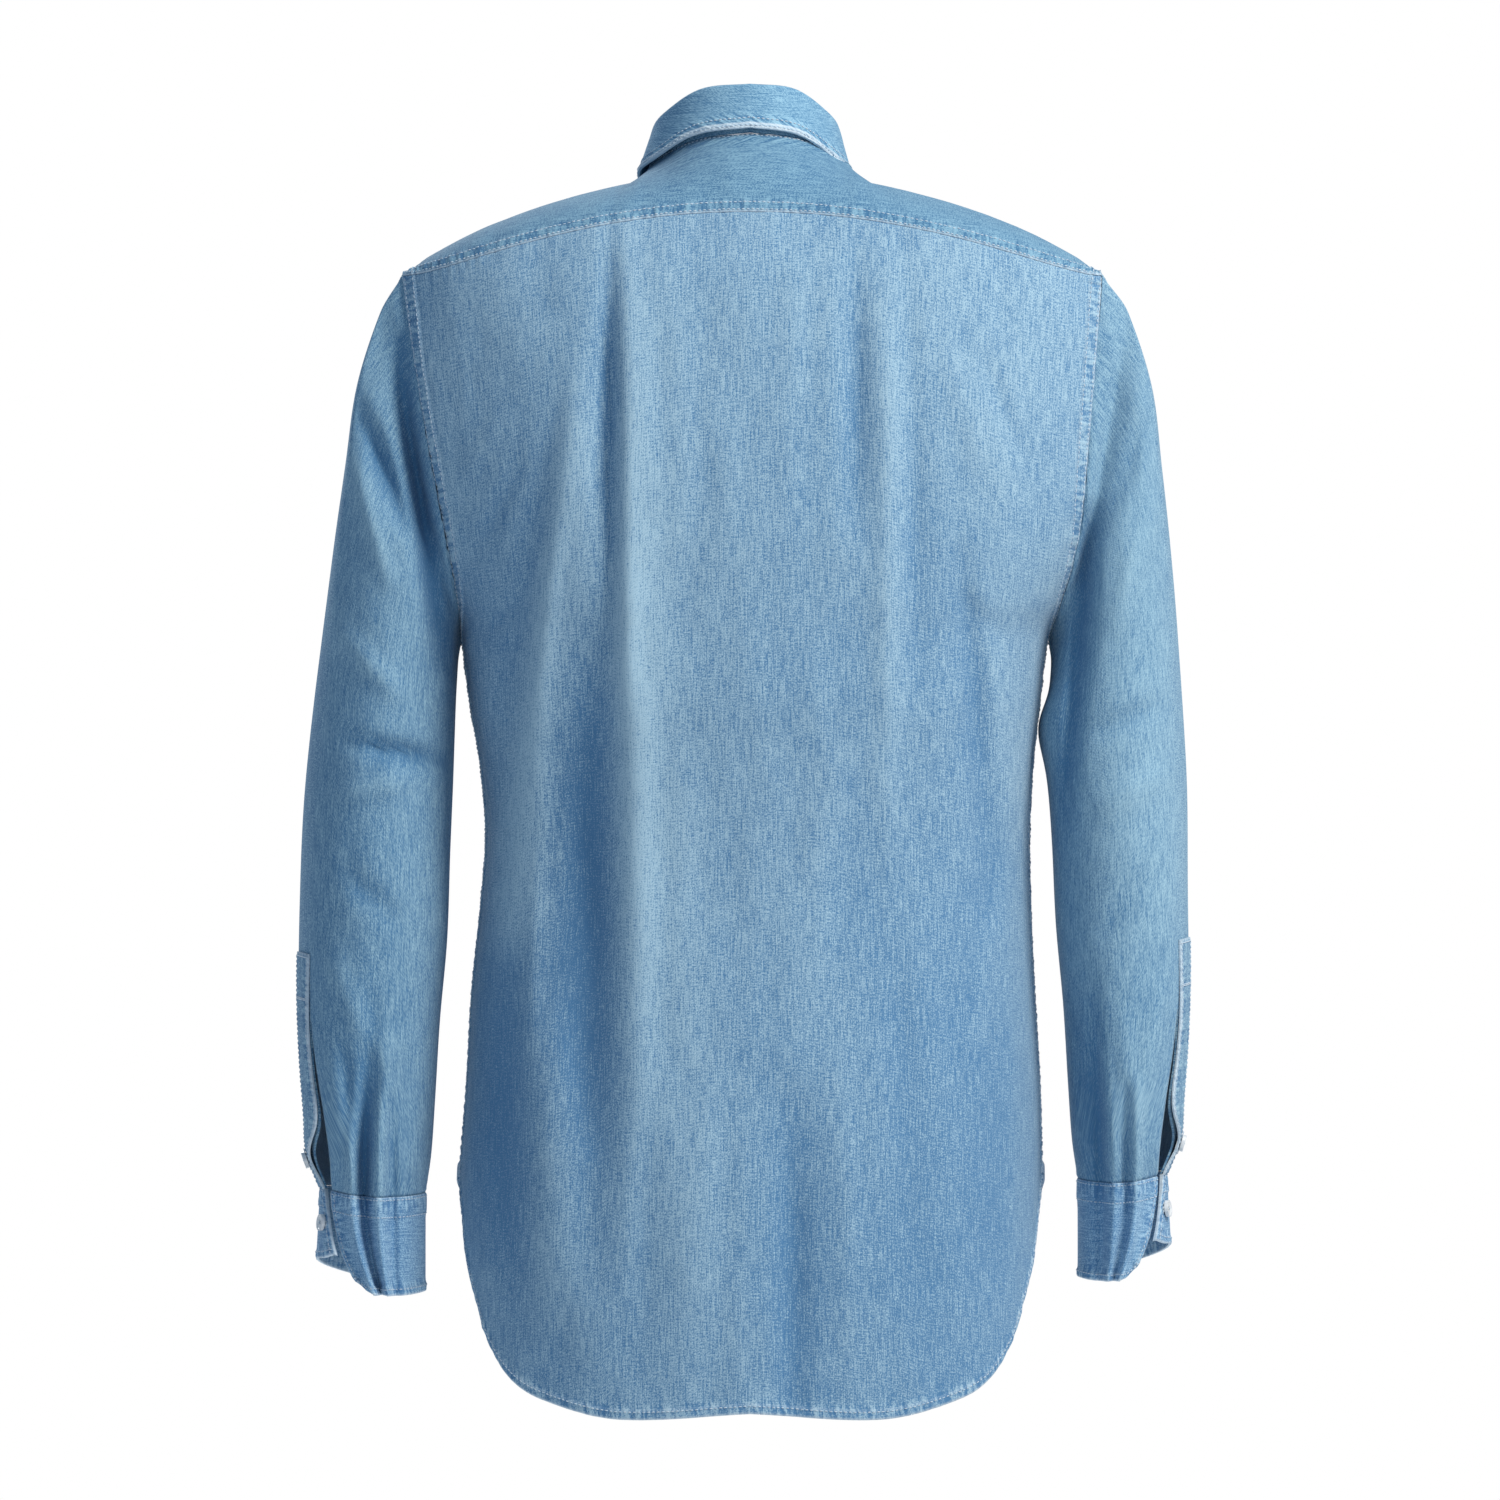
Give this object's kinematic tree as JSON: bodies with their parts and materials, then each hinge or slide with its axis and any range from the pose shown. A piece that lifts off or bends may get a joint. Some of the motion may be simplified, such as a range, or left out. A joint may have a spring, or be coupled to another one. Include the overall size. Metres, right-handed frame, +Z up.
{
  "type": "denim shirt",
  "caption": "Long-sleeved washed denim shirt in its worn shape, buttoned, with a turned-down collar, back yoke, curved shirt tails and open sleeve plackets.",
  "frame": {"origin": "middle of the neck, level with the top of the shoulders, where the wearer's shoulders and neck carry the shirt", "axes": "+Z up, the front of the shirt faces -Y, +X towards the wearer's left"},
  "size_m": [0.556, 0.2619, 0.8244],
  "materials": {
    "back": "washed denim, matt, slubby twill",
    "fronts": "washed denim, matt, slubby twill",
    "yoke": "washed denim, matt, slubby twill",
    "sleeves": "washed denim, matt, slubby twill",
    "cuffs": "washed denim, matt, slubby twill",
    "collar": "washed denim, matt, slubby twill",
    "buttons": "pearly white, polished"
  },
  "bodies": {
    "root": {"back": "back", "front_left": "fronts", "front_right": "fronts", "gusset_left": "fronts", "gusset_right": "fronts", "yoke": "yoke", "sleeve_left": "sleeves", "sleeve_right": "sleeves", "placket_left": "sleeves", "placket_right": "sleeves", "cuff_left": "cuffs", "cuff_right": "cuffs", "collar_stand": "collar", "collar_leaf": "collar", "button_front_1": "buttons", "button_front_2": "buttons", "button_front_3": "buttons", "button_front_4": "buttons", "button_front_5": "buttons", "button_front_6": "buttons", "button_collar": "buttons", "button_placket_left": "buttons", "button_placket_right": "buttons", "button_cuff_left": "buttons", "button_cuff_right": "buttons"}
  },
  "joints": []
}
